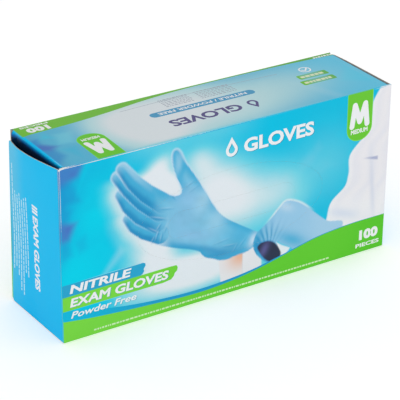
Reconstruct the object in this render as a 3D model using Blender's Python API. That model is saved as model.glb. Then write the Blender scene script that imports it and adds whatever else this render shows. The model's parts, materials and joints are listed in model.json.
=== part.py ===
"""Dispenser carton of one hundred disposable examination gloves, size M.

The folding carton stands on its bottom panel. +X runs along its length, -Y is the front with the
perforated dispensing oval, and +Z is up. The origin is the centre of the base.
"""

import math

import bpy
from mathutils import Matrix, Vector

# Driving dimensions, in metres
LENGTH = 0.240
DEPTH = 0.064
HEIGHT = 0.116
BOARD = 0.0005  # thickness of the folding boxboard
GAP = 0.0003  # clearance between neighbouring pieces
LAYER = 0.0009  # space between two layers of board that are glued together
GLUE = 0.0003  # thickness of a set bead of hot melt, or of the seam adhesive

# Dispensing opening: an oval of perforation around a slot-shaped press-in tab
OVAL_X = 0.068
OVAL_Z = 0.029
OVAL_CENTRE_Z = HEIGHT / 2
SLOT_HALF_LENGTH = 0.047
SLOT_RADIUS = 0.0093
SLOT_CREASE_DROP = 0.008  # from the slot's middle down to the tab's crease
OVAL_POINTS = 72
ARC_STEPS = 8

# End flaps
FLAP_START = BOARD + GAP  # from a crease's axis to the flap's first edge
OUTER_DROPS = {"left": 0.0065, "right": 0.0006}  # how far each outer flap's top edge falls away
OUTER_DROP_RUN = 0.046
OUTER_DROP_STEPS = 8
OUTER_CORNER = 0.004
INNER_WIDTH = 0.030
INNER_CHAMFER = 0.005
INNER_RELIEF = 0.010  # its upper and lower edges stop this far inside the top and bottom panels
DUST_LENGTH = 0.040
DUST_SIDE = 0.0012  # clearance at each side of a dust flap's crease
DUST_SHOULDER = 0.009  # its sides are straight this far, inside the opening the inner flap leaves
DUST_TAPER = 0.35  # how fast its sides draw in after the shoulder
DUST_LEAN = math.radians(10)  # past square, into the carton
SEAM_FLAP = 0.0145
SEAM_FLAP_INSET = 0.006

# Gloves, laid flat with their cuffs folded over
GLOVE_LENGTH = 0.216
GLOVE_THICKNESS = 0.00035
LOOSE_GLOVES = 10
BUNDLES = 9
BUNDLE_THICKNESS = 0.0049  # ten gloves pressed together
CUFF_LOW, CUFF_HIGH = 0.008, 0.098
FINGER_RADIUS = 0.0104
THUMB_RADIUS = 0.0085
# Each fingertip's centre, then the bottom of the notch after it: (along the glove, across it)
FINGERS = (
    ((0.186, 0.0144), (0.138, 0.0250)),
    ((0.201, 0.0360), (0.142, 0.0466)),
    ((GLOVE_LENGTH - FINGER_RADIUS, 0.0576), (0.140, 0.0682)),
    ((0.196, 0.0792), (0.104, 0.0905)),
)
THUMB_TIP = (0.158, 0.1000)

# Planes that the rest is placed from
FRONT_IN = -DEPTH / 2 + BOARD
BACK_IN = DEPTH / 2 - BOARD
TOP_IN = HEIGHT - BOARD
END_OUTER = LENGTH / 2 - BOARD  # inner face of the outer end flap
END_INNER = END_OUTER - LAYER - BOARD  # inner face of the inner end flap
END_DUST = END_INNER - LAYER - BOARD  # crease of the dust flaps

# Colours (linear), roughness
COLOURS = {
    "printed_board": ((0.02, 0.42, 0.62, 1), 0.38),
    "raw_board": ((0.46, 0.41, 0.35, 1), 0.85),
    "glove_nitrile": ((0.13, 0.36, 0.66, 1), 0.48),
    "hot_melt": ((0.80, 0.68, 0.42, 1), 0.30),
}


def clear_scene():
    for obj in list(bpy.data.objects):
        bpy.data.objects.remove(obj, do_unlink=True)


def material(name):
    mat = bpy.data.materials.get(name)
    if mat is None:
        mat = bpy.data.materials.new(name)
        mat.use_nodes = True
        shader = mat.node_tree.nodes["Principled BSDF"]
        colour, roughness = COLOURS[name]
        shader.inputs["Base Color"].default_value = colour
        shader.inputs["Roughness"].default_value = roughness
        shader.inputs["Metallic"].default_value = 0.0
        mat.diffuse_color = colour
    return mat


def frame_matrix(origin, along, across):
    """A frame whose X runs along, whose Y runs across and whose Z is square to both."""
    along, across = Vector(along).normalized(), Vector(across).normalized()
    turn = Matrix((along, across, along.cross(across))).transposed()
    return Matrix.Translation(Vector(origin)) @ turn.to_4x4()


def sheet(name, mat_name, outlines, thickness, where, offset=0.0, parent=None):
    """A flat piece cut from sheet: its outlines, extruded, with the sheet's middle at offset."""
    curve = bpy.data.curves.new(name, "CURVE")
    curve.dimensions = "2D"
    curve.fill_mode = "BOTH"
    curve.extrude = thickness / 2
    for outline in outlines:
        spline = curve.splines.new("POLY")
        spline.points.add(len(outline) - 1)
        for point, (x, y) in zip(spline.points, outline):
            point.co = (x, y, 0, 1)
        spline.use_cyclic_u = True
    curve.materials.append(material(mat_name))
    obj = bpy.data.objects.new(name, curve)
    parts.objects.link(obj)
    if parent:
        obj.parent = parent
        obj.location = (0, 0, offset)
    else:
        obj.matrix_world = where @ Matrix.Translation((0, 0, offset))
    return obj


def crease(name, origin, along, across):
    """The empty that a hinged piece turns with: its origin and its Y are the crease's axis."""
    empty = bpy.data.objects.new(name, None)
    empty.empty_display_size = 0.01
    empty.matrix_world = frame_matrix(origin, along, across)
    parts.objects.link(empty)
    return empty


def rectangle(x0, x1, y0, y1):
    return [(x0, y0), (x1, y0), (x1, y1), (x0, y1)]


def arc(cx, cy, radius, start_deg, end_deg, steps=ARC_STEPS):
    turns = [math.radians(start_deg + (end_deg - start_deg) * i / steps) for i in range(steps + 1)]
    return [(cx + radius * math.cos(a), cy + radius * math.sin(a)) for a in turns]


def oval(grow):
    """The dispensing oval, grown by half a perforation's width or drawn in by it."""
    steps = [2 * math.pi * i / OVAL_POINTS for i in range(OVAL_POINTS)]
    across, up = OVAL_X + grow, OVAL_Z + grow
    return [(across * math.cos(a), OVAL_CENTRE_Z + up * math.sin(a)) for a in steps]


def slot(grow):
    """The press-in tab's outline: a round-ended slot with a straight crease along its bottom."""
    radius = SLOT_RADIUS + grow
    drop = SLOT_CREASE_DROP + grow
    straight = SLOT_HALF_LENGTH - SLOT_RADIUS
    low = -math.degrees(math.asin(drop / radius))
    right = arc(straight, OVAL_CENTRE_Z, radius, low, 90)
    left = arc(-straight, OVAL_CENTRE_Z, radius, 90, 180 - low)
    return right + left


def front_panel():
    hole = oval(GAP / 2)
    face = rectangle(-LENGTH / 2, LENGTH / 2, 0, HEIGHT)
    where = frame_matrix((0, -DEPTH / 2, 0), (1, 0, 0), (0, 0, 1))
    sheet("front_panel", "printed_board", [face, hole], BOARD, where, -BOARD / 2)


def dispensing_panels():
    """The tear-out oval, which folds out about its lowest perforations, and its press-in tab."""
    hinge_z = OVAL_CENTRE_Z - OVAL_Z
    tear = crease("tear_out_crease", (0, -DEPTH / 2, hinge_z), (0, 0, 1), (1, 0, 0))
    ring = [[(z - hinge_z, x) for x, z in line] for line in (oval(-GAP / 2), slot(GAP / 2))]
    sheet("tear_out_panel", "printed_board", ring, BOARD, None, BOARD / 2, tear)
    crease_z = OVAL_CENTRE_Z - SLOT_CREASE_DROP
    press = crease("press_in_crease", (0, FRONT_IN, crease_z), (0, 0, 1), (1, 0, 0))
    tab = [(z - crease_z, x) for x, z in slot(-GAP / 2)]
    sheet("press_in_tab", "printed_board", [tab], BOARD, None, -BOARD / 2, press)


def sleeve_panels():
    back_x = END_INNER + BOARD
    top_x = END_DUST + BOARD
    inner_y = BACK_IN - GAP
    back = rectangle(-back_x, back_x, 0, HEIGHT)
    where = frame_matrix((0, BACK_IN, 0), (1, 0, 0), (0, 0, 1))
    sheet("back_panel", "printed_board", [back], BOARD, where, -BOARD / 2)
    flat = rectangle(-top_x, top_x, -inner_y, inner_y)
    for name, z in (("top_panel", TOP_IN), ("bottom_panel", 0)):
        where = frame_matrix((0, 0, z), (1, 0, 0), (0, 1, 0))
        sheet(name, "printed_board", [flat], BOARD, where, BOARD / 2)


def glued_seam():
    """The flap on the bottom panel's rear edge, stuck inside the back panel."""
    end = END_DUST - SEAM_FLAP_INSET / 2
    shoulder = end - SEAM_FLAP_INSET
    low, high = BOARD + GAP, BOARD + GAP + SEAM_FLAP
    flap = [(-end, low), (end, low), (shoulder, high), (-shoulder, high)]
    flap_y = BACK_IN - LAYER - BOARD
    where = frame_matrix((0, flap_y, 0), (1, 0, 0), (0, 0, 1))
    sheet("seam_flap", "raw_board", [flap], BOARD, where, -BOARD / 2)
    band = rectangle(-shoulder, shoulder, low + SEAM_FLAP / 4, high - SEAM_FLAP / 4)
    where = frame_matrix((0, BACK_IN - LAYER / 2, 0), (1, 0, 0), (0, 0, 1))
    sheet("seam_adhesive", "hot_melt", [band], GLUE, where)


def outer_flap_outline(drop):
    """The end's full cover. Its top edge falls away from the crease by drop, in a shallow curve."""
    low, high = GAP, HEIGHT - GAP
    end = DEPTH - BOARD - GAP
    points = [(FLAP_START, low), (end, low)]
    points += arc(end - OUTER_CORNER, high - drop - OUTER_CORNER, OUTER_CORNER, 0, 90, 5)
    for i in range(OUTER_DROP_STEPS, -1, -1):
        share = i / OUTER_DROP_STEPS
        fall = drop * share * share * (3 - 2 * share)
        points.append((FLAP_START + OUTER_DROP_RUN * share, high - fall))
    return points


def inner_flap_outline():
    low, high = BOARD + INNER_RELIEF, TOP_IN - INNER_RELIEF
    tip = INNER_WIDTH
    return [
        (FLAP_START, low),
        (tip - INNER_CHAMFER, low),
        (tip, low + INNER_CHAMFER),
        (tip, high - INNER_CHAMFER),
        (tip - INNER_CHAMFER, high),
        (FLAP_START, high),
    ]


def dust_flap_outline():
    root = BACK_IN - DUST_SIDE

    def half_width(length):
        return root - DUST_TAPER * length

    shoulder_end = DUST_SHOULDER + 0.001
    half = [
        (FLAP_START, root),
        (DUST_SHOULDER, root),
        (shoulder_end, half_width(shoulder_end)),
        (DUST_LENGTH, half_width(DUST_LENGTH)),
    ]
    return [(x, -y) for x, y in half] + half[::-1]


def hot_melt_outline(height):
    """A bead squeezed flat across the inner flap, with round ends."""
    half = 0.002
    near, far = 0.006, 0.026
    return arc(far, height, half, -90, 90) + arc(near, height, half, 90, 270)


def end_closure(name, side):
    """One end, with side -1 on the left and 1 on the right.

    Dust flaps fold in from the top and bottom panels, the short inner flap folds over them from
    the back panel, and the outer flap, on the front panel, covers the end.
    """
    outward = side * BOARD / 2
    outer = crease(name + "_outer_crease", (side * END_OUTER, FRONT_IN, 0), (0, 1, 0), (0, 0, 1))
    outline = [outer_flap_outline(OUTER_DROPS[name])]
    sheet(name + "_outer_flap", "printed_board", outline, BOARD, None, outward, outer)

    inner = crease(name + "_inner_crease", (side * END_INNER, BACK_IN, 0), (0, -1, 0), (0, 0, 1))
    outline = [inner_flap_outline()]
    sheet(name + "_inner_flap", "raw_board", outline, BOARD, None, -outward, inner)
    bead_offset = -side * (BOARD + LAYER / 2)
    for where, height in (("lower", 0.36 * HEIGHT), ("upper", 0.64 * HEIGHT)):
        bead = [hot_melt_outline(height)]
        bead_name = name + "_hot_melt_" + where
        sheet(bead_name, "hot_melt", bead, GLUE, None, bead_offset, inner)

    lean_x, lean_z = math.sin(DUST_LEAN), math.cos(DUST_LEAN)
    for where, z, down in (("top", TOP_IN, -1), ("bottom", BOARD, 1)):
        along = (-side * lean_x, 0, down * lean_z)
        dust = crease(f"{name}_{where}_dust_crease", (side * END_DUST, 0, z), along, (0, 1, 0))
        outline = [dust_flap_outline()]
        dust_name = f"{name}_{where}_dust_flap"
        offset = -down * outward
        sheet(dust_name, "raw_board", outline, BOARD, None, offset, dust)


def glove_outline():
    """A flat glove, cuff at +X: little finger lowest, then the rest, then the thumb on top."""
    points = [(0, CUFF_LOW), (0.060, 0.007), (0.110, FINGERS[0][0][1] - FINGER_RADIUS)]
    for (x, y), notch in FINGERS:
        points += arc(x, y, FINGER_RADIUS - GAP / 2, -90, 90)
        points.append(notch)
    points += arc(*THUMB_TIP, THUMB_RADIUS, -90, 90)
    points += [(0.090, 0.1080), (0.055, 0.1020), (0, CUFF_HIGH)]
    lowest = min(y for x, y in points)
    return [(GLOVE_LENGTH / 2 - x, y - lowest) for x, y in points]


def gloves():
    """Nine bundles of ten pressed gloves, from the back, then ten loose gloves in front."""
    outline = glove_outline()
    outline.reverse()
    rest_z = BOARD + GAP
    y = BACK_IN - LAYER - 2 * BOARD - GAP

    def lay(name, thickness, y):
        where = frame_matrix((0, y - thickness / 2, rest_z), (1, 0, 0), (0, 0, 1))
        sheet(name, "glove_nitrile", [outline], thickness, where)
        return y - thickness - GAP

    for i in range(BUNDLES, 0, -1):
        y = lay(f"glove_bundle_{i:02d}", BUNDLE_THICKNESS, y)
    for i in range(LOOSE_GLOVES, 0, -1):
        y = lay(f"glove_{i:02d}", GLOVE_THICKNESS, y)


clear_scene()
parts = bpy.data.collections.new("glove_dispenser_carton")
bpy.context.scene.collection.children.link(parts)
front_panel()
dispensing_panels()
sleeve_panels()
glued_seam()
end_closure("left", -1)
end_closure("right", 1)
gloves()
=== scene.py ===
"""Looks of the disposable-glove dispenser carton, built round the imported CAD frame.

Every panel and flap is a sheet of board: a flat triangulated outline in millimetres of its own
panel, placed on the carton by a function of (u, v, w). Its print is a colour on each face corner,
worked out by the functions of the "Print" section. Panel axes, in millimetres:
front (x from the left, z), top (x from the left, y from the front), ends (y from the front, z).
"""

import json
import math

import bpy
import numpy as np
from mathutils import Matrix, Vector
from mathutils.geometry import delaunay_2d_cdt


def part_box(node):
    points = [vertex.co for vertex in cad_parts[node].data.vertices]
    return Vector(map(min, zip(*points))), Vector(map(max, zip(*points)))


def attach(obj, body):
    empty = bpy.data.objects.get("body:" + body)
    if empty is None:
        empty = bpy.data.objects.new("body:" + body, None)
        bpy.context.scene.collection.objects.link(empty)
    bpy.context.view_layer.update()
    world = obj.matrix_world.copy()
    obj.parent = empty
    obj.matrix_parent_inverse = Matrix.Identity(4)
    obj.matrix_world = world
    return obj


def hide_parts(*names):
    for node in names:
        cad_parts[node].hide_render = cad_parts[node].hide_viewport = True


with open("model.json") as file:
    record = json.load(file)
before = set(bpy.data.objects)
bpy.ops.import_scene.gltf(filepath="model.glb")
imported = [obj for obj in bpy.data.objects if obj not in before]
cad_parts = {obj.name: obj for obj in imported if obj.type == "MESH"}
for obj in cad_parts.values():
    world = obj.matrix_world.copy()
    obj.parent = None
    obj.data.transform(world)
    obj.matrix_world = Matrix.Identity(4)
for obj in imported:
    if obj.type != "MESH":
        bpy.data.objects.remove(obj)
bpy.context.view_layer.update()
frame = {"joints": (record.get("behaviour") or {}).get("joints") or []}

# ---------------------------------------------------------------- sizes, from the frame, in mm
MM = 0.001
FRONT_LOW, FRONT_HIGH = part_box("front_panel")
BACK_LOW, BACK_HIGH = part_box("back_panel")
TOP_LOW, TOP_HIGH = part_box("top_panel")
LENGTH = (FRONT_HIGH.x - FRONT_LOW.x) / MM
HEIGHT = (FRONT_HIGH.z - FRONT_LOW.z) / MM
DEPTH = (BACK_HIGH.y - FRONT_LOW.y) / MM
BOARD = (FRONT_HIGH.y - FRONT_LOW.y) / MM
FOLD_X = LENGTH / 2 - BOARD  # the outer flaps' creases
BACK_FOLD_X = BACK_HIGH.x / MM - BOARD  # the inner flaps' creases
DUST_FOLD_X = TOP_HIGH.x / MM - BOARD  # the dust flaps' creases
FOLD_Y = DEPTH / 2 - BOARD
FOLD_Z = HEIGHT - BOARD
JOINTS = {joint["name"]: joint for joint in frame["joints"]}

OVAL_LOW, OVAL_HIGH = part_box("tear_out_panel")
OVAL_X = (OVAL_HIGH.x - OVAL_LOW.x) / MM / 2
OVAL_Z = (OVAL_HIGH.z - OVAL_LOW.z) / MM / 2
OVAL_MID = ((OVAL_HIGH.x + OVAL_LOW.x) / MM / 2 + LENGTH / 2, (OVAL_HIGH.z + OVAL_LOW.z) / MM / 2)
TAB_LOW, TAB_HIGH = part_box("press_in_tab")
CREASE_CLEAR = 0.35  # from an end flap's crease to its board, so that it opens past its panel

# ---------------------------------------------------------------- inks (linear)
CYAN = (0.003, 0.50, 0.74)
CYAN_BRIGHT = (0.001, 0.62, 0.80)
CYAN_DEEP = (0.006, 0.47, 0.70)
BLUE = (0.015, 0.20, 0.56)
PURPLE = (0.07, 0.14, 0.50)
AQUA = (0.22, 0.68, 0.76)
GREEN = (0.125, 0.585, 0.035)
GREEN_LIGHT = (0.19, 0.66, 0.06)
GREEN_DEEP = (0.10, 0.55, 0.03)
WHITE = (0.83, 0.84, 0.86)
HAZE = (0.60, 0.76, 0.80)
PAPER = (0.82, 0.81, 0.79)
BAR_BLUE = (0.025, 0.36, 0.60)
WAVE_TINT = (0.018, 0.31, 0.585)
SHADOW_INK = (0.03, 0.26, 0.40)
INK_GREY = (0.34, 0.38, 0.45)
INK_PLUM = (0.11, 0.10, 0.24)
SKIN = (0.78, 0.46, 0.32)
END_BLUE = (0.001, 0.49, 0.86)


# ================================================================ Small mathematics
def smooth(low, high, value):
    t = np.clip((value - low) / (high - low), 0, 1)
    return t * t * (3 - 2 * t)


def mix(a, b, share):
    """Colours a to b, by an array of shares."""
    share = np.asarray(share)[..., None]
    return np.asarray(a) * (1 - share) + np.asarray(b) * share


def glow(u, v, mid, reach, turn=0.0):
    """A soft elliptical blob, 1 in its middle."""
    c, s = math.cos(turn), math.sin(turn)
    x, y = u - mid[0], v - mid[1]
    along, across = (c * x + s * y) / reach[0], (c * y - s * x) / reach[1]
    return np.exp(-(along**2) - across**2)


def curve_through(knots, x):
    """A smooth curve through (x, y) knots, by cubic Hermite pieces."""
    kx, ky = np.array(knots, float).T
    slope = np.gradient(ky, kx)
    i = np.clip(np.searchsorted(kx, x) - 1, 0, len(kx) - 2)
    span = kx[i + 1] - kx[i]
    t = np.clip((x - kx[i]) / span, 0, 1)
    start = (1 + 2 * t) * (1 - t) ** 2 * ky[i] + t * (1 - t) ** 2 * span * slope[i]
    return start + t * t * (3 - 2 * t) * ky[i + 1] + t * t * (t - 1) * span * slope[i + 1]


def noise(u, v, scale, seed=0):
    """Smooth value noise from 0 to 1, with cells of the given size."""
    x, y = np.asarray(u) / scale + 19.7 * seed, np.asarray(v) / scale + 7.3 * seed
    ix, iy = np.floor(x), np.floor(y)
    fx, fy = x - ix, y - iy
    fx, fy = fx * fx * (3 - 2 * fx), fy * fy * (3 - 2 * fy)

    def lattice(i, j):
        value = np.sin(i * 127.1 + j * 311.7 + seed * 74.7) * 43758.5453
        return value - np.floor(value)

    low = lattice(ix, iy) * (1 - fx) + lattice(ix + 1, iy) * fx
    high = lattice(ix, iy + 1) * (1 - fx) + lattice(ix + 1, iy + 1) * fx
    return low * (1 - fy) + high * fy


def rough_noise(u, v, scale, seed=0):
    return 0.6 * noise(u, v, scale, seed) + 0.4 * noise(u, v, scale / 2.3, seed + 1)


# ================================================================ Flat outlines
def rectangle(u0, u1, v0, v1):
    return [(u0, v0), (u1, v0), (u1, v1), (u0, v1)]


def arc(cx, cy, radius, start_deg, end_deg, steps=10, radius_y=None):
    radius_y = radius if radius_y is None else radius_y
    turns = np.radians(np.linspace(start_deg, end_deg, steps + 1))
    return [(cx + radius * math.cos(a), cy + radius_y * math.sin(a)) for a in turns]


def circle(cx, cy, radius, steps=32):
    return arc(cx, cy, radius, 0, 360, steps)[:-1]


def rounded(u0, u1, v0, v1, radius):
    points = arc(u1 - radius, v0 + radius, radius, -90, 0, 6)
    points += arc(u1 - radius, v1 - radius, radius, 0, 90, 6)
    points += arc(u0 + radius, v1 - radius, radius, 90, 180, 6)
    return points + arc(u0 + radius, v0 + radius, radius, 180, 270, 6)


def smooth_loop(knots, steps=6):
    """A closed smooth outline through the knots (Catmull-Rom)."""
    knots = np.array([knots[-1], *knots, knots[0], knots[1]], float)
    t = np.arange(steps)[:, None] / steps
    found = []
    for p0, p1, p2, p3 in zip(knots, knots[1:], knots[2:], knots[3:]):
        bend = 2 * p1 + (p2 - p0) * t + (2 * p0 - 5 * p1 + 4 * p2 - p3) * t**2
        found.append((bend + (3 * p1 - p0 - 3 * p2 + p3) * t**3) / 2)
    return [tuple(p) for p in np.concatenate(found)]


def segments(loops):
    """The closed loops' edges, as an array of pairs of points."""
    found = []
    for loop in loops:
        loop = np.array(loop, float)
        found.append(np.stack([loop, np.roll(loop, -1, axis=0)], axis=1))
    return np.concatenate(found)


def inside(edges, u, v):
    """Whether each point is inside the closed figure made by the edges, by counting crossings."""
    low, high = edges.min((0, 1)), edges.max((0, 1))
    near = np.flatnonzero((u > low[0]) & (u < high[0]) & (v > low[1]) & (v < high[1]))
    odd = np.zeros(len(near), bool)
    x, y = u[near], v[near]
    for (x1, y1), (x2, y2) in edges:
        spans = (y1 > y) != (y2 > y)
        if spans.any():
            odd ^= spans & (x < (x2 - x1) * (y - y1) / (y2 - y1) + x1)
    result = np.zeros(len(u), bool)
    result[near] = odd
    return result


def distance_in(edges, u, v):
    """Distance to a closed figure's edges, positive inside it."""
    best = np.full(len(u), 1e9)
    for (x1, y1), (x2, y2) in edges:
        dx, dy = x2 - x1, y2 - y1
        t = np.clip(((u - x1) * dx + (v - y1) * dy) / (dx * dx + dy * dy + 1e-12), 0, 1)
        best = np.minimum(best, (u - x1 - t * dx) ** 2 + (v - y1 - t * dy) ** 2)
    return np.sqrt(best) * np.where(inside(edges, u, v), 1, -1)


class Ink:
    """A crisp printed figure: its edges, and its colour or a function that gives it."""

    def __init__(self, edges, colour):
        self.edges = edges
        self.colour = colour

    def moved(self, change, colour=None):
        points = change(self.edges.reshape(-1, 2)).reshape(-1, 2, 2)
        return Ink(points, colour or self.colour)


def figure(loops, colour):
    return Ink(segments(loops), colour)


def outer_edges(points, faces):
    """The edges used by one face only, as an array of pairs of points."""
    keys = [tuple(p) for p in np.round(points, 5)]
    used = {}
    for ring in faces:
        ring = [keys[i] for i in ring]
        for a, b in zip(ring, ring[1:] + ring[:1]):
            pair = (min(a, b), max(a, b))
            used[pair] = used.get(pair, 0) + 1
    return np.array([pair for pair, count in used.items() if count == 1 and pair[0] != pair[1]])


def lettering(text, box, colour, weight=0.0, turned=False, slant=0.0):
    """Generic words or numbers in Blender's own font, stretched to fill a box of the panel."""
    curve = bpy.data.curves.new("lettering", "FONT")
    curve.body = text
    curve.offset = weight
    curve.shear = slant
    curve.resolution_u = 3
    holder = bpy.data.objects.new("lettering", curve)
    bpy.context.scene.collection.objects.link(holder)
    graph = bpy.context.evaluated_depsgraph_get()
    mesh = bpy.data.meshes.new_from_object(holder.evaluated_get(graph))
    points = np.array([v.co for v in mesh.vertices], float)[:, :2]
    edges = outer_edges(points, [face.vertices for face in mesh.polygons])
    bpy.data.objects.remove(holder)
    bpy.data.curves.remove(curve)
    bpy.data.meshes.remove(mesh)
    low, high = edges.min((0, 1)), edges.max((0, 1))
    u0, u1, v0, v1 = box
    share = (edges - low) / (high - low)
    if turned:
        share = 1 - share
    return Ink(np.array([u0, v0]) + share * np.array([u1 - u0, v1 - v0]), colour)


def stroke(start, end, radius):
    """A thick line with round ends."""
    angle = math.degrees(math.atan2(end[1] - start[1], end[0] - start[0]))
    return arc(*start, radius, angle + 90, angle + 270, 8) + arc(*end, radius, angle - 90, angle + 90, 8)


def greeked(box, rows, colour, seed, word=(2.0, 5.0), ink_share=0.5, down=False, ragged=0.0):
    """Rows of little bars that stand for small print, broken as words would be."""
    u0, u1, v0, v1 = box
    if down:
        u0, u1, v0, v1 = v0, v1, u0, u1
    random = np.random.default_rng(seed)
    pitch = (v1 - v0) / rows
    loops = []
    for row in range(rows):
        low = v0 + pitch * (row + 0.5 - ink_share / 2)
        high = low + pitch * ink_share
        at = u0 + (u1 - u0) * ragged * random.uniform(0, 1)
        end = u1 - (u1 - u0) * ragged * random.uniform(0, 1)
        while at < end:
            stop = min(at + random.uniform(*word), end)
            if stop - at > 0.6:
                loops.append(rectangle(at, stop, low, high))
            at = stop + 0.6
    if down:
        loops = [[(y, x) for x, y in reversed(loop)] for loop in loops]
    return figure(loops, colour)


# ================================================================ Print: background paintings
FRONT_FACETS = (
    # corners (mm), colour, strength: flat shards of light and shade in the ground
    (((-4, 120), (18, 117), (13, 108), (-4, 101)), PURPLE, 0.85),
    (((0, 108), (8, 106), (14, 92), (0, 90)), BLUE, 0.50),
    (((-3, 82), (11, 79), (6, 68), (-3, 66)), PURPLE, 0.95),
    (((0, 92), (9, 88), (6, 81), (0, 81)), BLUE, 0.40),
    (((0, 68), (6, 69), (9, 57), (0, 55)), BLUE, 0.30),
    (((9, 66), (17, 70), (18, 60), (12, 57)), BLUE, 0.25),
    (((12, 98), (24, 118), (17, 118)), CYAN_BRIGHT, 0.45),
    (((17, 104), (32, 116), (36, 98)), CYAN_DEEP, 0.35),
    (((14, 84), (24, 98), (28, 84)), CYAN_DEEP, 0.30),
    (((166, 64), (188, 84), (184, 90), (158, 72)), WHITE, 0.035),
    (((150, 56), (200, 70), (176, 84)), WHITE, 0.03),
    (((20, 30), (46, 52), (40, 56)), WHITE, 0.22),
    (((20, 58), (34, 50), (30, 70)), CYAN_BRIGHT, 0.3),
)
TOP_FACETS = (
    (((-3, 44), (9, 42), (6, 31), (-2, 36)), BLUE, 0.60),
    (((0, 36), (6, 35), (15, 27), (8, 22), (0, 27)), PURPLE, 0.80),
    (((0, 26), (11, 24), (13, 13), (3, 3), (-3, 5)), BLUE, 0.50),
    (((15, 28), (19, 43), (31, 42), (26, 26)), AQUA, 0.35),
    (((9, 40), (15, 48), (18, 38)), CYAN_BRIGHT, 0.35),
    (((13, 22), (24, 22), (20, 6)), CYAN_DEEP, 0.35),
    (((132, 0), (140, 0), (178, 46), (168, 46)), WHITE, 0.10),
    (((196, 0), (206, 0), (190, 34), (182, 34)), WHITE, 0.07),
    (((214, 20), (236, 8), (232, 40)), CYAN_BRIGHT, 0.20),
)


def facets(u, v, ground, shards, soft=3.8):
    for corners, colour, strength in shards:
        share = np.ones_like(u)
        pts = np.array(corners, float)
        first, second = pts[1] - pts[0], pts[2] - pts[1]
        turn = np.sign(first[0] * second[1] - first[1] * second[0])
        for a, b in zip(pts, np.roll(pts, -1, axis=0)):
            side = ((b[0] - a[0]) * (v - a[1]) - (b[1] - a[1]) * (u - a[0])) * turn
            share = np.minimum(share, smooth(-2.4, soft, side / np.hypot(*(b - a))))
        ground = mix(ground, colour, share * strength)
    return ground


def cyan_ground(u, v):
    """The shared ground of front and back: cyan, bluer in the left corners and deeper at right."""
    ground = mix(CYAN, CYAN_BRIGHT, np.maximum(glow(u, v, (6, 46), (34, 26)), glow(u, v, (22, 82), (14, 22))))
    ground = mix(ground, AQUA, 0.5 * smooth(100, 116, v) * smooth(30, 70, u) * smooth(150, 100, u))
    ground = mix(ground, CYAN_DEEP, 0.8 * smooth(150, 200, u))
    ground = mix(ground, AQUA, 0.42 * glow(u, v, (190, 72), (24, 22)) + 0.45 * glow(u, v, (167, 56), (12, 9)))
    ground = mix(ground, BLUE, 0.60 * glow(u, v, (0, 116), (18, 28)) + 0.3 * glow(u, v, (0, 76), (7, 16)))
    ground = mix(ground, BLUE, 0.30 * smooth(8, 0, u) * smooth(38, 66, v))
    tint = rough_noise(u, v, 11, 6)
    return mix(facets(u, v, ground, FRONT_FACETS), CYAN_BRIGHT, 0.25 * tint * smooth(70, 20, u))


def limb(u, v, joints):
    """(height, signed distance) of a chain of tapered round limbs: joints are (u, v, radius)."""
    height, away = np.zeros_like(u), np.full_like(u, 1e3)
    for (ax, ay, ar), (bx, by, br) in zip(joints, joints[1:]):
        length = (bx - ax) ** 2 + (by - ay) ** 2
        t = np.clip(((u - ax) * (bx - ax) + (v - ay) * (by - ay)) / length, 0, 1)
        radius = ar + (br - ar) * t
        d = np.hypot(u - ax - t * (bx - ax), v - ay - t * (by - ay))
        height = np.maximum(height, np.sqrt(np.maximum(radius**2 - d * d, 0)))
        away = np.minimum(away, d - radius)
    return height, away


GLOVE_DEEP = (0.025, 0.27, 0.53)
GLOVE_BLUE = (0.060, 0.41, 0.66)
GLOVE_PALM = (0.18, 0.52, 0.72)
GLOVE_PALE = (0.33, 0.60, 0.77)
GLOVE_RIM = (0.58, 0.72, 0.84)
GLOVE_LILAC = (0.25, 0.51, 0.74)

FINGERS = (
    # drawn back to front; each from tip to knuckle, as (x, z, radius) in mm
    ((44.9, 72.4, 3.4), (49.6, 66.0, 4.3), (57.0, 60.0, 4.8), (68.0, 55.0, 6.0)),
    ((40.4, 89.4, 3.8), (46.0, 80.6, 5.0), (54.0, 71.6, 5.2), (66.0, 64.0, 6.4)),
    ((38.3, 101.2, 3.9), (46.2, 91.2, 4.9), (55.8, 80.0, 5.0), (68.0, 71.0, 6.4)),
    ((41.8, 105.8, 3.9), (49.2, 95.4, 5.0), (58.4, 85.6, 5.8), (70.0, 76.0, 6.4)),
)
PALM = (
    # corners of the palm with the thumb and wrist, clockwise from the index finger's knuckle
    (63, 88.6), (66.6, 85), (70, 82.5), (73.8, 80.6), (77.6, 79.0), (80.6, 78.6), (82.6, 79.8),
    (82.8, 82.6), (81.2, 86.6), (79.2, 91.4), (77.4, 97), (76.2, 102.6), (76.2, 106.8), (77.6, 109.2),
    (80.0, 109.3), (82.4, 106.8), (84.2, 102.8), (86.2, 98.4), (89.4, 93.4), (93, 87.9), (97, 81),
    (101, 74), (105.2, 66.4), (109.9, 59.4), (116, 53.4), (124.1, 47.6), (134.6, 40.6), (141, 36),
    (139, 30), (132, 26), (124.1, 25.5), (117.3, 24.6), (111.3, 25.3), (106.7, 27.6), (100.7, 30.3),
    (97.6, 33.4), (95.6, 36.0), (88.9, 39.4), (78.7, 43.1), (71.5, 46.2), (65.8, 48.9), (60, 53),
    (57, 62), (59, 72), (61, 80),
)
SECOND_HAND = (
    # corners of the other gloved hand, which pulls the cuff: clockwise from its top
    (160.8, 54.0), (170.3, 50.4), (179.5, 43.1), (188.8, 34.7), (195, 30.4), (206, 27), (200, 18),
    (172, 14), (165, 19.6), (158, 24.0), (154.5, 26.6), (157.6, 18.0), (153, 11.6), (146.5, 13.8),
    (142.1, 17.6), (137.8, 22.9), (136.0, 28.7), (136.7, 33.4), (138.5, 37), (141.9, 39.5),
    (146.3, 42.3), (150.7, 46.0), (155.1, 50.2),
)
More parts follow.
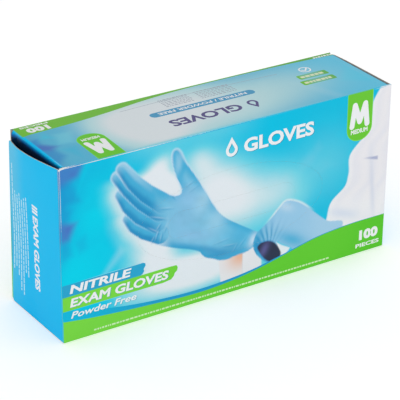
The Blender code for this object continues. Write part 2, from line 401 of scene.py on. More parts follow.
CUFF_OPENING = (
    # corners of the dark inside of the second glove's cuff
    (139.9, 27.6), (141.8, 28.9), (145.0, 29.2), (148.6, 28.6), (152.4, 26.4), (155.4, 22.6), (157.6, 17.4),
    (155.8, 14.2), (151.4, 13.2), (147.2, 14.8), (143.4, 18.8), (140.4, 23.6), (139.4, 26.0),
)


def paint_finger(u, v, ground, joints):
    """A rounded finger with a pale rim on its upper side and a deep blue lower side."""
    step = 0.3
    height, away = limb(u, v, joints)
    slope = (limb(u + 0.45 * step, v + 0.89 * step, joints)[0] - height) / step
    lit = smooth(1.2, -1.0, slope)
    (ax, ay, _), (bx, by, _) = joints[0], joints[2]
    along = ((u - ax) * (bx - ax) + (v - ay) * (by - ay)) / ((bx - ax) ** 2 + (by - ay) ** 2)
    colour = mix(GLOVE_DEEP, GLOVE_BLUE, smooth(0.08, 0.62, lit + 0.12 * (noise(u, v, 5, 30) - 0.5)))
    colour = mix(colour, GLOVE_PALE, 0.80 * smooth(0.62, 1.0, lit) * smooth(1.5, 0.1, along))
    colour = mix(colour, GLOVE_PALE, 0.60 * smooth(0.20, -0.20, along))
    colour = mix(colour, GLOVE_RIM, 0.55 * smooth(-1.2, -0.1, away) * smooth(0.8, -0.2, along))
    ground = mix(ground, GLOVE_RIM, (0.20 + 0.38 * smooth(0.9, 0.1, along)) * smooth(1.1, 0.1, away))
    return mix(ground, colour, smooth(0.25, -0.35, away))


def paint_palm(u, v, ground):
    """The palm, thumb and wrist: lit on the thumb's mount and wrist, deep blue along the heel."""
    depth = distance_in(segments([smooth_loop(PALM)]), u, v)
    cloth = rough_noise(u + 0.4 * v, v, 8, 33) - 0.5
    colour = mix(GLOVE_BLUE, GLOVE_PALM, smooth(0.3, 6, depth) * 0.9)
    for blob_colour, strength, mid, reach, turn in PALM_TONES:
        colour = mix(colour, blob_colour, strength * glow(u, v, mid, reach, turn))
    colour = mix(colour, GLOVE_RIM, 0.5 * smooth(1.4, 0.2, depth) * smooth(96, 104, v))
    colour = colour * (1 + 0.16 * cloth[:, None] * smooth(0, 4, depth)[:, None])
    over_knuckles = smooth(59, 76, u + 0.12 * (v - 60))
    rim = mix(ground, GLOVE_RIM, 0.7 * smooth(-1.5, 0, depth) * smooth(72, 76, u) * smooth(58, 64, v))
    return mix(rim, colour, smooth(-0.3, 0.35, depth) * over_knuckles)


PALM_TONES = (
    # (colour, strength, middle, reach, turn)
    (GLOVE_PALE, 0.55, (80.5, 99), (2.6, 9), -0.25),
    (GLOVE_BLUE, 0.85, (84.5, 96), (2.2, 10), -0.42),
    (GLOVE_LILAC, 0.85, (88, 74), (13, 9), -0.5),
    (GLOVE_PALE, 0.90, (99, 72), (6, 12), -0.5),
    (GLOVE_PALE, 0.80, (109, 56), (8, 12), -0.75),
    (GLOVE_LILAC, 0.80, (90, 49), (17, 5), -0.30),
    (GLOVE_LILAC, 0.60, (82, 61), (13, 8), -0.3),
    (GLOVE_DEEP, 0.75, (113, 30), (15, 4.0), -0.12),
    (GLOVE_DEEP, 0.55, (86, 41.4), (18, 2.6), -0.38),
    (GLOVE_DEEP, 0.55, (104, 35), (8, 2.2), -0.45),
    (GLOVE_BLUE, 0.75, (126, 38), (11, 9), -0.7),
    (GLOVE_RIM, 0.85, (136.0, 33.0), (3.2, 5.5), -0.4),
)
CREASES = (
    # (x, z, tilt, half length, strength): folds of the glove where the fingers meet the palm
    (66.0, 66.5, -0.35, 9.0, 0.75), (72.0, 71.5, -0.20, 8.0, 0.45), (62.5, 59.0, -0.60, 7.0, 0.8),
    (67.0, 60.5, 0.9, 4.0, 0.7), (66.0, 55.5, 1.2, 5.5, 0.8), (69.0, 53.5, 1.35, 5.0, 0.6),
    (63.0, 53.0, 1.0, 4.0, 0.6), (71.5, 57.5, 1.1, 3.5, 0.4), (77.0, 78.0, -0.9, 4.0, 0.4),
    (89.0, 84.0, 0.5, 5.0, 0.3), (91.5, 80.0, 0.4, 6.0, 0.25), (112.0, 38.0, 0.1, 9.0, 0.3),
    (118.0, 33.5, -0.1, 8.0, 0.4), (128.0, 33.0, 0.8, 6.0, 0.3), (123.0, 31.0, 1.0, 5.0, 0.3),
)


def paint_creases(u, v, ground):
    """Each crease is a dark line with a pale ridge above it, fading out along its length."""
    for at, low, tilt, long, deep in CREASES:
        line = (v - low) * math.cos(tilt) - (u - at) * math.sin(tilt)
        run = np.abs((u - at) * math.cos(tilt) + (v - low) * math.sin(tilt))
        ground = mix(ground, GLOVE_DEEP, deep * smooth(0.9, 0.0, np.abs(line)) * smooth(long, 0, run))
        ground = mix(ground, GLOVE_RIM, 0.4 * deep * smooth(0.8, 0.0, np.abs(line - 1.0)) * smooth(long, 0, run))
    return ground


def paint_second_hand(u, v, ground):
    """The second gloved hand: pale and folded, with the dark inside of the cuff that it holds."""
    depth = distance_in(segments([smooth_loop(SECOND_HAND)]), u, v)
    colour = mix(GLOVE_BLUE, (0.30, 0.56, 0.77), smooth(136, 158, u + 0.35 * v - 10))
    colour = mix(colour, (0.36, 0.59, 0.78), smooth(168, 192, u))
    colour = mix(colour, GLOVE_RIM, 0.55 * glow(u, v, (160, 50), (7, 3.0), -0.5))
    fan = np.arctan2(v - 20, u - 148)
    crease = 0.5 + 0.5 * np.sin(26 * fan + 3 * noise(u, v, 6, 9))
    around = glow(u, v, (146.5, 33), (9, 8))
    colour = mix(colour, GLOVE_DEEP, 0.80 * crease**2 * around)
    colour = mix(colour, GLOVE_PALE, 0.45 * (1 - crease) ** 2 * around)
    colour = mix(colour, GLOVE_DEEP, 0.80 * glow(u, v, (138.6, 28), (2.6, 7), -0.2))
    colour = mix(colour, GLOVE_BLUE, 0.85 * glow(u, v, (166, 25), (13, 4.5), -0.50))
    ground = mix(ground, WHITE, 0.8 * smooth(-1.9, 0, depth) * smooth(40, 48, v))
    ground = mix(ground, colour, smooth(-0.3, 0.4, depth))
    wedge = distance_in(segments([[(153.6, 26.6), (158.2, 23.2), (165, 19.4), (160, 14), (157, 16)]]), u, v)
    ground = mix(ground, WHITE, 0.9 * smooth(-0.2, 0.6, wedge))
    inner = distance_in(segments([smooth_loop(CUFF_OPENING)]), u, v)
    ground = mix(ground, BLUE, 0.55 * smooth(-1.2, -0.2, inner) * smooth(154, 150, u))
    dark = mix((0.030, 0.040, 0.075), (0.10, 0.10, 0.26), glow(u, v, (144.6, 23.4), (3.0, 6), -0.5))
    return mix(ground, dark, smooth(-0.4, 0.5, inner))


COAT_EDGE = [(24, 190), (32, 192.6), (45, 197), (52, 206), (60, 208.6), (75.7, 210.5), (81, 216),
             (87, 223.5), (96, 225.5), (107, 226), (116, 231.5)]


def paint_coat(u, v, ground):
    """The pale front of a work coat, at the right edge."""
    edge = curve_through(COAT_EDGE, v)
    away = edge - u
    fold = 0.5 + 0.5 * np.sin((u - edge) * 0.5 + 0.05 * v + 3 * noise(u, v, 22, 4))
    colour = mix((0.80, 0.79, 0.82), (0.70, 0.72, 0.80), 0.4 * fold)
    colour = mix(colour, WHITE, 0.6 * smooth(-5, 0, away) + 0.5 * smooth(50, 34, v))
    colour = mix(colour, (0.52, 0.58, 0.72), 0.45 * glow(u, v, (228.5, 46), (1.8, 24), 0.10))
    pocket = distance_in(segments([[(217.6, 69.3), (231.8, 67.6), (231.8, 65.2), (225, 67.2)]]), u, v)
    colour = mix(colour, (0.36, 0.40, 0.58), 0.9 * smooth(-0.5, 0.4, pocket) * smooth(217, 228, u))
    colour = mix(colour, (0.58, 0.66, 0.80), 0.6 * glow(u, v, (206, 33), (14, 3.5), -0.35))
    return mix(ground, colour, smooth(0.6, -0.6, away))


def paint_front(u, v):
    ground = cyan_ground(u, v)
    near_hand = np.minimum.reduce([limb(u, v, joints)[1] for joints in FINGERS])
    white = 0.85 * glow(u, v, (66, 99), (8, 15), -0.7) + 0.75 * glow(u, v, (73, 88), (10, 9))
    white += 0.92 * glow(u, v, (109, 74), (26, 22), -0.6) + 0.9 * glow(u, v, (92, 20), (54, 12))
    white += 0.82 * glow(u, v, (64, 37), (20, 13), -0.35) + 0.50 * glow(u, v, (138, 60), (34, 22))
    white += 0.45 * glow(u, v, (96, 98), (12, 10), -0.6) + 0.8 * glow(u, v, (94, 27), (20, 9))
    white += 0.30 * glow(u, v, (164, 66), (22, 16))
    white += (0.45 * smooth(9, 0, near_hand) + 0.25 * smooth(17, 6, near_hand)) * smooth(104, 92, v)
    white *= smooth(22, 46, u + 0.1 * v) * smooth(214, 150, u - 0.35 * (60 - v)) * smooth(121, 100, v - 0.02 * u)
    white = np.clip(white, 0, 1)
    ground = mix(ground, AQUA, smooth(0, 0.4, white) * 0.7)
    ground = mix(ground, HAZE, smooth(0.25, 0.85, white))
    ground = mix(ground, (0.76, 0.80, 0.84), smooth(0.65, 1.0, white) * 0.9)
    mottle = rough_noise(u, v, 9, 15) * smooth(0.95, 0.3, white) * smooth(40, 90, u)
    ground = mix(ground, CYAN_BRIGHT, 0.22 * mottle)
    ground = paint_coat(u, v, ground)
    wrist = smooth(-0.4, 0.6, distance_in(segments([[(110, 27), (142, 32), (143, 8), (112, 8)]]), u, v))
    skin = mix((0.76, 0.77, 0.80), SKIN, glow(u, v, (127.2, 24.5), (10, 8.5), 0.3) * smooth(128.6, 127.6, u))
    skin = mix(skin, (0.55, 0.55, 0.62), 0.35 * smooth(0.5, 0.1, np.abs(u - 128.3)))
    ground = mix(ground, skin, wrist)
    for joints in FINGERS:
        ground = paint_finger(u, v, ground, joints)
    ground = paint_creases(u, v, paint_palm(u, v, ground))
    return paint_second_hand(u, v, ground)


# ---------------------------------------------------------------- Print: crisp figures
GREEN_TOP = [(0, 14.7), (16, 12.6), (40, 10.3), (64, 8.6), (88, 7.1), (100, 7.0), (112, 7.6),
             (136, 10.4), (160, 15.4), (184, 20.8), (208, 23.2), (240, 23.8)]
BLUE_TOP = [(0, 22.6), (16, 18.6), (40, 13.8), (64, 10.9), (88, 9.4), (100, 9.3), (112, 9.7),
            (136, 11.9), (160, 16.3), (184, 21.3), (208, 23.6), (240, 23.9)]


def wave(knots, colour):
    """A band from below the panel up to the curve through the knots."""
    x = np.linspace(-1, LENGTH + 1, 130)
    top = curve_through(knots, np.clip(x, 0, LENGTH))
    return figure([[*zip(x, top), (LENGTH + 1, -1), (-1, -1)]], colour)


def green_tone(u, v):
    return mix(mix(GREEN_LIGHT, GREEN, smooth(20, 150, u)), GREEN_DEEP, smooth(190, 240, u))


def blue_tone(u, v):
    return mix(CYAN_DEEP, WAVE_TINT, smooth(0, 80, u))


def letter_m(mid, base, height, half, radius, colour, up=1):
    """A heavy M with rounded strokes."""
    foot, shoulder = half - radius, half - radius - 1.9
    low, high = base + up * radius, base + up * (height - radius)
    valley = base + up * height * 0.25
    inks = []
    for side in (-1, 1):
        inks.append(figure([stroke((mid + side * foot, low), (mid + side * shoulder, high), radius)], colour))
        inks.append(figure([stroke((mid + side * shoulder, high), (mid, valley), radius)], colour))
    return inks


def badge(mid, half, base, tip, up):
    """The size badge, with straight sides from its base and a round far end. up is its tip's way."""
    reach = abs(tip - base)
    crown = half * 0.9

    def outline(inset):
        loop = [(mid - half + inset, base), (mid + half - inset, base)]
        side = base + up * (reach - crown)
        return loop + arc(mid, side, half - inset, 0, up * 180, 16, crown - inset)

    letter = base + up * reach * (0.74 if up < 0 else 0.20)
    word = sorted((base + up * reach * 0.755, base + up * reach * 0.845))
    inks = [figure([outline(0)], GREEN_LIGHT), figure([outline(0.6)], (0.145, 0.56, 0.04))]
    inks += letter_m(mid, letter, reach * 0.53, half * 0.79, half * 0.195, WHITE)
    if up > 0:
        inks = inks[:2] + letter_m(mid, base + reach * 0.70, reach * 0.52, half * 0.79, half * 0.195, WHITE, -1)
    inks.append(lettering("MEDIUM", (mid - half * 0.66, mid + half * 0.66, *word), WHITE, 0.035, up > 0))
    return inks


def drop_icon(mid, size, colour, turned=False):
    """A plain ring in the shape of a drop."""
    up = -1 if turned else 1

    def drop(scale):
        turns = np.radians(np.linspace(-210, 30, 22))
        ring = [(mid[0] + scale * math.cos(a), mid[1] + up * scale * math.sin(a)) for a in turns]
        return ring + [(mid[0], mid[1] + up * scale * 2.0)]

    return figure([drop(size), drop(size * 0.52)], colour)


def shadowed(ink, shift=0.45):
    """An ink with a thin dark shadow of itself printed under it, to its lower right."""
    shadow = ink.moved(lambda p: p + np.array([shift, -shift * 0.8]), SHADOW_INK)
    return [shadow, ink]


def label_bars():
    """Two stacked name bars that run in from the left edge, with brushed right ends."""
    blue = [(-1, 30.9), (53.4, 30.9), (55.2, 31.8), (56.4, 33.6), (56.0, 35.2), (57.4, 37.0), (57.2, 38.8),
            (55.6, 39.6), (51, 39.4), (-1, 39.2)]
    green = [(-1, 21.4), (70, 21.4), (75.6, 22.2), (77.6, 24.0), (78.2, 25.9), (79.9, 27.2), (80.4, 29.4),
             (79.4, 31.1), (75, 31.3), (-1, 31.0)]
    inks = [figure([blue], BAR_BLUE), figure([green], green_tone)]
    inks += shadowed(lettering("NITRILE", (5, 47.5, 32.6, 38.3), WHITE, 0.035, slant=0.15), 0.3)
    inks += shadowed(lettering("EXAM GLOVES", (5, 74, 23.2, 29.3), WHITE, 0.035, slant=0.15), 0.3)
    inks += shadowed(lettering("Powder Free", (5.5, 51, 15.6, 20.0), WHITE, 0.02, slant=0.25), 0.25)
    return inks


def count_print():
    hundred = lettering("100", (220, 235.2, 9.0, 16.4), WHITE, 0.06)
    return [hundred, lettering("PIECES", (217.5, 236.5, 3.8, 6.7), WHITE, 0.03)]


def front_inks():
    inks = [wave(BLUE_TOP, blue_tone), wave(GREEN_TOP, green_tone)]
    inks += label_bars()
    inks += badge(215.6, 10.0, HEIGHT + 0.5, 82.3, -1)
    inks += shadowed(drop_icon((118.6, 99.4), 4.3, WHITE))
    inks += shadowed(lettering("GLOVES", (127.5, 180, 95.2, 104.6), WHITE, 0.035))
    inks += count_print()
    inks.append(greeked((21, 197, 2.4, 4.0), 1, (0.62, 0.82, 0.50), 5, (0.7, 2.6), 0.7))
    return inks


TOP_GREEN = [(0, 49.6), (20, 50.4), (42, 51.8), (66, 54.6), (90, 58.4), (115, 61.0), (150, 62.0),
             (190, 61.4), (215, 60.2), (240, 58.6)]


def paint_top(u, v):
    """Bluer at the left end, washed to a pale lilac grey behind the badge, teal at the right. These colours have a
    painted reflection haze in them: paler and greyer than the same inks on the front, where the top faces the sky.
    """
    ground = mix((0.10, 0.45, 0.65), (0.12, 0.54, 0.75), smooth(150, 235, u))
    ground = mix(ground, (0.09, 0.30, 0.53), 0.6 * smooth(14, 0, u))
    ground = facets(u, v, ground, TOP_FACETS)
    white = 1.05 * glow(u, v, (70, 22), (24, 32), 0.35) + 0.85 * glow(u, v, (100, 42), (42, 24))
    white += 0.45 * glow(u, v, (120, 16), (46, 22)) + 0.30 * glow(u, v, (180, 34), (44, 30))
    white = np.clip(white, 0, 1)
    ground = mix(ground, (0.44, 0.68, 0.72), smooth(0, 0.5, white))
    ground = mix(ground, (0.68, 0.74, 0.77), smooth(0.35, 1.0, white))
    ground = mix(ground, (0.32, 0.68, 0.76), 0.7 * smooth(3.0, 0.5, v) * smooth(40, 60, u) * smooth(190, 120, u))
    return mix(ground, END_BLUE, smooth(4.3, 3.7, u))


def top_inks():
    x = np.linspace(-1, LENGTH + 1, 120)
    low = curve_through(TOP_GREEN, np.clip(x, 0, LENGTH))
    inks = [figure([[*zip(x, low), (LENGTH + 1, DEPTH + 1), (-1, DEPTH + 1)]], top_green_tone)]
    inks += badge(35.6, 9.2, -0.5, 33.0, 1)
    rule = [(70, 50.6), (128, 52.6), (186, 50.0), (186, 50.4), (128, 53.0), (70, 51.0)]
    inks.append(figure([rule], INK_GREY))
    inks.append(figure([rounded(82, 158, 31.4, 38.0, 3.2)], (0.08, 0.32, 0.53)))
    inks.append(lettering("NITRILE / POWDER FREE", (88, 152, 33.2, 36.4), WHITE, 0.02, True))
    inks.append(lettering("GLOVES", (87, 138, 14.4, 23.6), INK_PLUM, 0.035, True))
    inks.append(drop_icon((147.0, 20.2), 3.7, INK_PLUM, True))
    inks.append(greeked((98, 119, 41.0, 54), 6, INK_GREY, 11, (0.9, 2.8), 0.40))
    inks.append(greeked((124, 150, 41.0, 54), 6, INK_GREY, 12, (0.9, 2.8), 0.40))
    for low_v, start, seed in ((25.2, 190.5, 13), (34.0, 193.5, 14)):
        inks.append(figure([rounded(start, 216, low_v, low_v + 6.4, 1.2)], bar_fade))
        inks.append(greeked((start + 2, 213, low_v + 1.7, low_v + 4.5), 1, (0.70, 0.76, 0.50), seed, (1.5, 3.6), 0.95))
    inks.append(figure([circle(205.5, 47.0, 4.2), circle(205.5, 47.0, 3.3)], WHITE))
    for a, b in (((203.4, 47.2), (205.0, 45.4)), ((205.0, 45.4), (207.8, 48.8))):
        inks.append(figure([stroke(a, b, 0.5)], WHITE))
    inks.append(lettering("100", (8.5, 23.5, 51.8, 58.6), WHITE, 0.06, True))
    inks.append(lettering("PIECES", (6.5, 25.5, 60.0, 62.4), WHITE, 0.03, True))
    inks.append(greeked((222, 238, 59.6, 61.8), 1, WHITE, 15, (1.0, 2.6), 0.8))
    return inks


def top_green_tone(u, v):
    # the top's green, with a painted reflection haze in it: greyer than the front's green
    return mix((0.17, 0.50, 0.05), (0.13, 0.42, 0.06), smooth(60, 200, u))


def bar_fade(u, v):
    """A green bar that fades into the ground towards its left end."""
    # the same green as the top's, with its painted reflection haze
    green = mix((0.17, 0.50, 0.05), (0.14, 0.44, 0.10), smooth(205, 214, u))
    return mix((0.18, 0.48, 0.50), green, 0.35 + 0.65 * np.maximum(smooth(200, 193, u), smooth(209, 214, u)))


def paint_end(u, v):
    ground = mix(END_BLUE, (0.001, 0.51, 0.87), smooth(0, 90, v))
    ground = mix(ground, (0.13, 0.54, 0.76), 0.7 * smooth(40, 63, u) * smooth(-20, 60, v))
    leak = cyan_ground(0 * u, v)
    ground = mix(ground, leak, 0.8 * smooth(2.4, 0.9, u))
    return mix(ground, GREEN_LIGHT, smooth(62.2, 63.2, u) * smooth(30, 20, v))


def end_inks(side):
    """The end's words read down the panel, with their tops to the right. side is -1 at the left."""

    def down_panel(ink):
        return ink.moved(lambda p: np.stack([side * p[:, 1], -p[:, 0]], axis=1))

    tops = (27.6, 34.0) if side > 0 else (-34.0, -27.6)
    inks = [down_panel(lettering("EXAM GLOVES", (-72, -22, *tops), WHITE, 0.04))]
    for low in (74, 76, 78):
        inks.append(figure([rectangle(27.4, 34.2, low, low + 1.4)], WHITE))
    small_print = greeked((40.6, 61.8, 6, 96), 7, (0.52, 0.78, 0.88), 21, (1.5, 6.0), 0.34, True, 0.28)
    return inks + [small_print]


def paint_back(u, v):
    ground = cyan_ground(u, v)
    white = 1.0 * glow(u, v, (120, 60), (86, 36)) + 0.3 * glow(u, v, (170, 90), (40, 20))
    ground = mix(ground, AQUA, smooth(0, 0.4, white) * 0.7)
    return mix(ground, HAZE, smooth(0.25, 0.95, white))


def back_inks():
    inks = [wave(BLUE_TOP, blue_tone), wave(GREEN_TOP, green_tone)]
    inks += badge(215.6, 10.0, HEIGHT + 0.5, 82.3, -1)
    inks += shadowed(drop_icon((24.5, 97.0), 4.0, WHITE))
    inks += shadowed(lettering("NITRILE EXAM GLOVES", (34, 160, 93.0, 101.0), WHITE, 0.03))
    inks += count_print()
    for i, size in enumerate(("S", "M", "L", "XL")):
        mid = 30 + 22 * i
        wide = 2.8 if len(size) == 1 else 4.2
        loops = [circle(mid, 76, 8)] if size == "M" else [circle(mid, 76, 8), circle(mid, 76, 7.1)]
        inks.append(figure(loops, GREEN if size == "M" else BAR_BLUE))
        tint = WHITE if size == "M" else BAR_BLUE
        inks.append(lettering(size, (mid - wide, mid + wide, 72.2, 79.8), tint, 0.03))
    inks.append(figure([rounded(22, 100, 57.5, 63.5, 3.0)], BAR_BLUE))
    inks.append(lettering("CONTENTS", (27, 56, 59.1, 61.9), WHITE, 0.02))
    inks.append(greeked((22, 100, 31, 54), 8, BAR_BLUE, 31, (2.0, 8.0), 0.36, ragged=0.04))
    inks.append(figure([rounded(110, 196, 57.5, 63.5, 3.0)], GREEN))
    inks.append(lettering("HAND SIZES", (115, 148, 59.1, 61.9), WHITE, 0.02))
    inks.append(greeked((110, 196, 31, 54), 8, BAR_BLUE, 32, (2.0, 8.0), 0.36, ragged=0.04))
    return inks + stripe_panel(150, 71, 83)


def stripe_panel(start, low, high):
    """A plain striped panel, with bars of three widths that spell nothing."""
    inks = [figure([rectangle(start - 3, start + 41, low - 2, high + 2)], WHITE)]
    loops, at = [], start
    for i in range(22):
        wide = (0.5, 1.0, 0.7)[i % 3]
        loops.append(rectangle(at, at + wide, low, high))
        at += wide + (0.8, 1.3, 0.6, 1.0)[i % 4]
    inks.append(figure(loops, (0.03, 0.05, 0.10)))
    return inks


# ================================================================ Materials
def new_material(name):
    mat = bpy.data.materials.new(name)
    mat.use_nodes = True
    tree = mat.node_tree
    return mat, tree, tree.nodes["Principled BSDF"]


def add_node(tree, kind, **inputs):
    node = tree.nodes.new("ShaderNode" + kind)
    for name, value in inputs.items():
        node.inputs[name.replace("_", " ")].default_value = value
    return node


def noise_node(tree, scale, detail=3.0, roughness=0.55):
    node = add_node(tree, "TexNoise", Scale=scale, Detail=detail, Roughness=roughness)
    place = tree.nodes.new("ShaderNodeTexCoord")
    tree.links.new(place.outputs["Object"], node.inputs["Vector"])
    return node


def ranged(tree, source, low, high, to_low, to_high):
    """Maps source from low..high to to_low..to_high, clamped."""
    node = add_node(tree, "MapRange", From_Min=low, From_Max=high, To_Min=to_low, To_Max=to_high)
    tree.links.new(source, node.inputs["Value"])
    return node.outputs["Result"]


def math_node(tree, operation, a, b):
    node = tree.nodes.new("ShaderNodeMath")
    node.operation = operation
    for socket, value in zip(node.inputs, (a, b)):
        if isinstance(value, bpy.types.NodeSocket):
            tree.links.new(value, socket)
        else:
            socket.default_value = value
    return node.outputs[0]


def mixed(tree, share, a, b, blend="MIX"):
    node = tree.nodes.new("ShaderNodeMix")
    node.data_type = "RGBA"
    node.blend_type = blend
    for name, value in (("Factor_Float", share), ("A_Color", a), ("B_Color", b)):
        socket = next(s for s in node.inputs if s.identifier == name)
        if isinstance(value, bpy.types.NodeSocket):
            tree.links.new(value, socket)
        else:
            socket.default_value = value
    return next(s for s in node.outputs if s.identifier == "Result_Color")


def bump(tree, shader, layers):
    """Chains bumps, each (height socket, distance in metres, strength)."""
    normal = None
    for height, distance, strength in layers:
        node = add_node(tree, "Bump", Strength=strength, Distance=distance)
        tree.links.new(height, node.inputs["Height"])
        if normal:
            tree.links.new(normal, node.inputs["Normal"])
        normal = node.outputs["Normal"]
    tree.links.new(normal, shader.inputs["Normal"])


def printed_material():
    """Offset inks on clay-coated board, varnished, with the coating worn to white at the folds."""
    mat, tree, shader = new_material("printed_board")
    print_colour = add_node(tree, "Attribute")
    print_colour.attribute_name = "print"
    wear = add_node(tree, "Attribute")
    wear.attribute_name = "wear"
    grain = noise_node(tree, 2600, 2.0).outputs["Fac"]
    cloud = noise_node(tree, 120, 3.0).outputs["Fac"]
    tone = ranged(tree, grain, 0.3, 0.7, 0.975, 1.02)
    colour = mixed(tree, 1.0, print_colour.outputs["Color"], tone, "MULTIPLY")
    fray = noise_node(tree, 900, 4.0, 0.7).outputs["Fac"]
    patch = noise_node(tree, 45, 2.0).outputs["Fac"]
    worn = math_node(tree, "ADD", math_node(tree, "MULTIPLY", fray, 0.7), math_node(tree, "MULTIPLY", patch, 0.6))
    worn = math_node(tree, "ADD", worn, wear.outputs["Fac"])
    share = ranged(tree, worn, 1.12, 1.34, 0.0, 1.0)
    colour = mixed(tree, share, colour, (*PAPER, 1))
    tree.links.new(colour, shader.inputs["Base Color"])
    rough = math_node(tree, "ADD", ranged(tree, cloud, 0.3, 0.7, 0.30, 0.38), math_node(tree, "MULTIPLY", share, 0.4))
    tree.links.new(rough, shader.inputs["Roughness"])
    shader.inputs["IOR"].default_value = 1.12
    wave = noise_node(tree, 22, 1.5).outputs["Fac"]
    bump(tree, shader, ((wave, 0.0006, 0.35), (grain, 0.00002, 0.35)))
    return mat


def raw_board_material():
    """Uncoated recycled board: grey-brown, matt, with pale and dark fibres."""
    mat, tree, shader = new_material("raw_board")
    pulp = noise_node(tree, 500, 5.0, 0.7).outputs["Fac"]
    fibre = noise_node(tree, 3200, 3.0, 0.6).outputs["Fac"]
    colour = mixed(tree, ranged(tree, pulp, 0.3, 0.7, 0.0, 1.0), (0.42, 0.37, 0.31, 1), (0.56, 0.52, 0.46, 1))
    fleck = ranged(tree, fibre, 0.62, 0.72, 0.0, 0.5)
    colour = mixed(tree, fleck, colour, (0.25, 0.21, 0.17, 1))
    tree.links.new(colour, shader.inputs["Base Color"])
    tree.links.new(ranged(tree, pulp, 0.2, 0.8, 0.82, 0.95), shader.inputs["Roughness"])
    bump(tree, shader, ((fibre, 0.00006, 0.6),))
    return mat


def nitrile_material():
    """Thin blue nitrile: matt, slightly uneven in tone."""
    mat, tree, shader = new_material("nitrile")
    cloud = noise_node(tree, 60, 3.0).outputs["Fac"]
    grain = noise_node(tree, 1800, 2.0).outputs["Fac"]
    colour = mixed(tree, ranged(tree, cloud, 0.3, 0.7, 0.0, 1.0), (0.055, 0.25, 0.58, 1), (0.095, 0.33, 0.68, 1))
    tree.links.new(colour, shader.inputs["Base Color"])
    tree.links.new(ranged(tree, grain, 0.3, 0.7, 0.42, 0.56), shader.inputs["Roughness"])
    shader.inputs["Sheen Weight"].default_value = 0.25
    bump(tree, shader, ((grain, 0.00005, 0.5),))
    return mat


def hot_melt_material():
    """Set hot melt: waxy amber, glossy, with a few dull spots."""
    mat, tree, shader = new_material("hot_melt")
    cloud = noise_node(tree, 400, 3.0).outputs["Fac"]
    colour = mixed(tree, ranged(tree, cloud, 0.3, 0.7, 0.0, 1.0), (0.72, 0.56, 0.26, 1), (0.86, 0.74, 0.46, 1))
    tree.links.new(colour, shader.inputs["Base Color"])
    tree.links.new(ranged(tree, cloud, 0.3, 0.7, 0.18, 0.40), shader.inputs["Roughness"])
    shader.inputs["Subsurface Weight"].default_value = 0.3
    shader.inputs["Subsurface Radius"].default_value = (0.002, 0.0014, 0.0006)
    bump(tree, shader, ((cloud, 0.0002, 0.5),))
    return mat


PRINTED = printed_material()
RAW = raw_board_material()
NITRILE = nitrile_material()
HOT_MELT = hot_melt_material()


# ================================================================ Sheets of board
def triangulate(outline_edges, ink_edges, step):
    """Points and triangles of a flat figure, with a vertex row along every edge that is given."""
    low, high = outline_edges.min((0, 1)), outline_edges.max((0, 1))
    us, vs = np.arange(low[0] + step / 2, high[0], step), np.arange(low[1] + step / 2, high[1], step)
    grid_u, grid_v = np.meshgrid(us, vs)
    grid_u[1::2] += step / 2
    grid = np.stack([grid_u.ravel(), grid_v.ravel()], axis=1)
    grid = grid[inside(outline_edges, grid[:, 0], grid[:, 1])]
    edges = np.concatenate([outline_edges, *ink_edges])
    held = np.clip(edges.reshape(-1, 2), low - STRAY, high + STRAY)
    points = [Vector(p) for p in np.concatenate([grid, held])]
    links = [(len(grid) + 2 * i, len(grid) + 2 * i + 1) for i in range(len(edges))]
    verts, _, faces, *_ = delaunay_2d_cdt(points, links, [], 0, STRAY / 10, False)
    verts = np.array(verts, float)
    faces = np.array([f for f in faces if len(f) == 3])
    middle = verts[faces].mean(1)
    faces = faces[inside(outline_edges, middle[:, 0], middle[:, 1])]
    a, b, c = (verts[faces[:, i]] for i in range(3))
    area = (b[:, 0] - a[:, 0]) * (c[:, 1] - a[:, 1]) - (b[:, 1] - a[:, 1]) * (c[:, 0] - a[:, 0])
    faces, area = faces[np.abs(area) > SLIVER], area[np.abs(area) > SLIVER]
    faces[area < 0] = faces[area < 0][:, ::-1]
    used, index = np.unique(faces, return_inverse=True)
    return verts[used], index.reshape(faces.shape)


STRAY = 1e-4  # how far outside the outline an ink's edge may run, in mm
SLIVER = 1e-7


def printed_colours(flat, faces, paint, inks):
    """The print at each face corner: the painting at the vertex, then each ink that covers it."""
    corners = paint(flat[:, 0], flat[:, 1])[faces]
    middle = flat[faces].mean(1)
    for ink in inks:
        covered = inside(ink.edges, middle[:, 0], middle[:, 1])
        if callable(ink.colour):
            spots = flat[faces[covered]]
            corners[covered] = ink.colour(spots[..., 0], spots[..., 1])
        else:
            corners[covered] = ink.colour
    return corners


def print_at(paint, inks, u, v):
    """The print's colour at single points."""
    u, v = np.asarray(u, float), np.asarray(v, float)
    colour = paint(u, v)
    for ink in inks:
        covered = inside(ink.edges, u, v)
        if callable(ink.colour):
            colour[covered] = ink.colour(u[covered], v[covered])
        else:
            colour[covered] = ink.colour
    return colour


def new_mesh(name, points, faces):
    mesh = bpy.data.meshes.new(name)
    mesh.from_pydata((np.asarray(points) * MM).tolist(), [], [list(map(int, f)) for f in faces])
    obj = bpy.data.objects.new(name, mesh)
    bpy.context.scene.collection.objects.link(obj)
    return obj


def store_print(mesh, corners, wear):
    """Writes the print on the face corners and the wear on the vertices."""
    attribute = mesh.color_attributes.new("print", "FLOAT_COLOR", "CORNER")
    rgba = np.ones((len(mesh.loops), 4), np.float32)
    rgba[:, :3] = np.clip(corners.reshape(-1, 3), 0, 1)
    attribute.data.foreach_set("color", rgba.ravel())
    attribute = mesh.attributes.new("wear", "FLOAT", "POINT")
    attribute.data.foreach_set("value", np.asarray(wear, np.float32))


def thicken(obj, thickness, rim_material=0):
    solid = obj.modifiers.new("thickness", "SOLIDIFY")
    solid.thickness = thickness * MM
    solid.offset = -1
    solid.material_offset = rim_material
    solid.material_offset_rim = rim_material


def claim(obj, body, slot, *nodes):
    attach(obj, body)
    if nodes:
        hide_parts(*nodes)


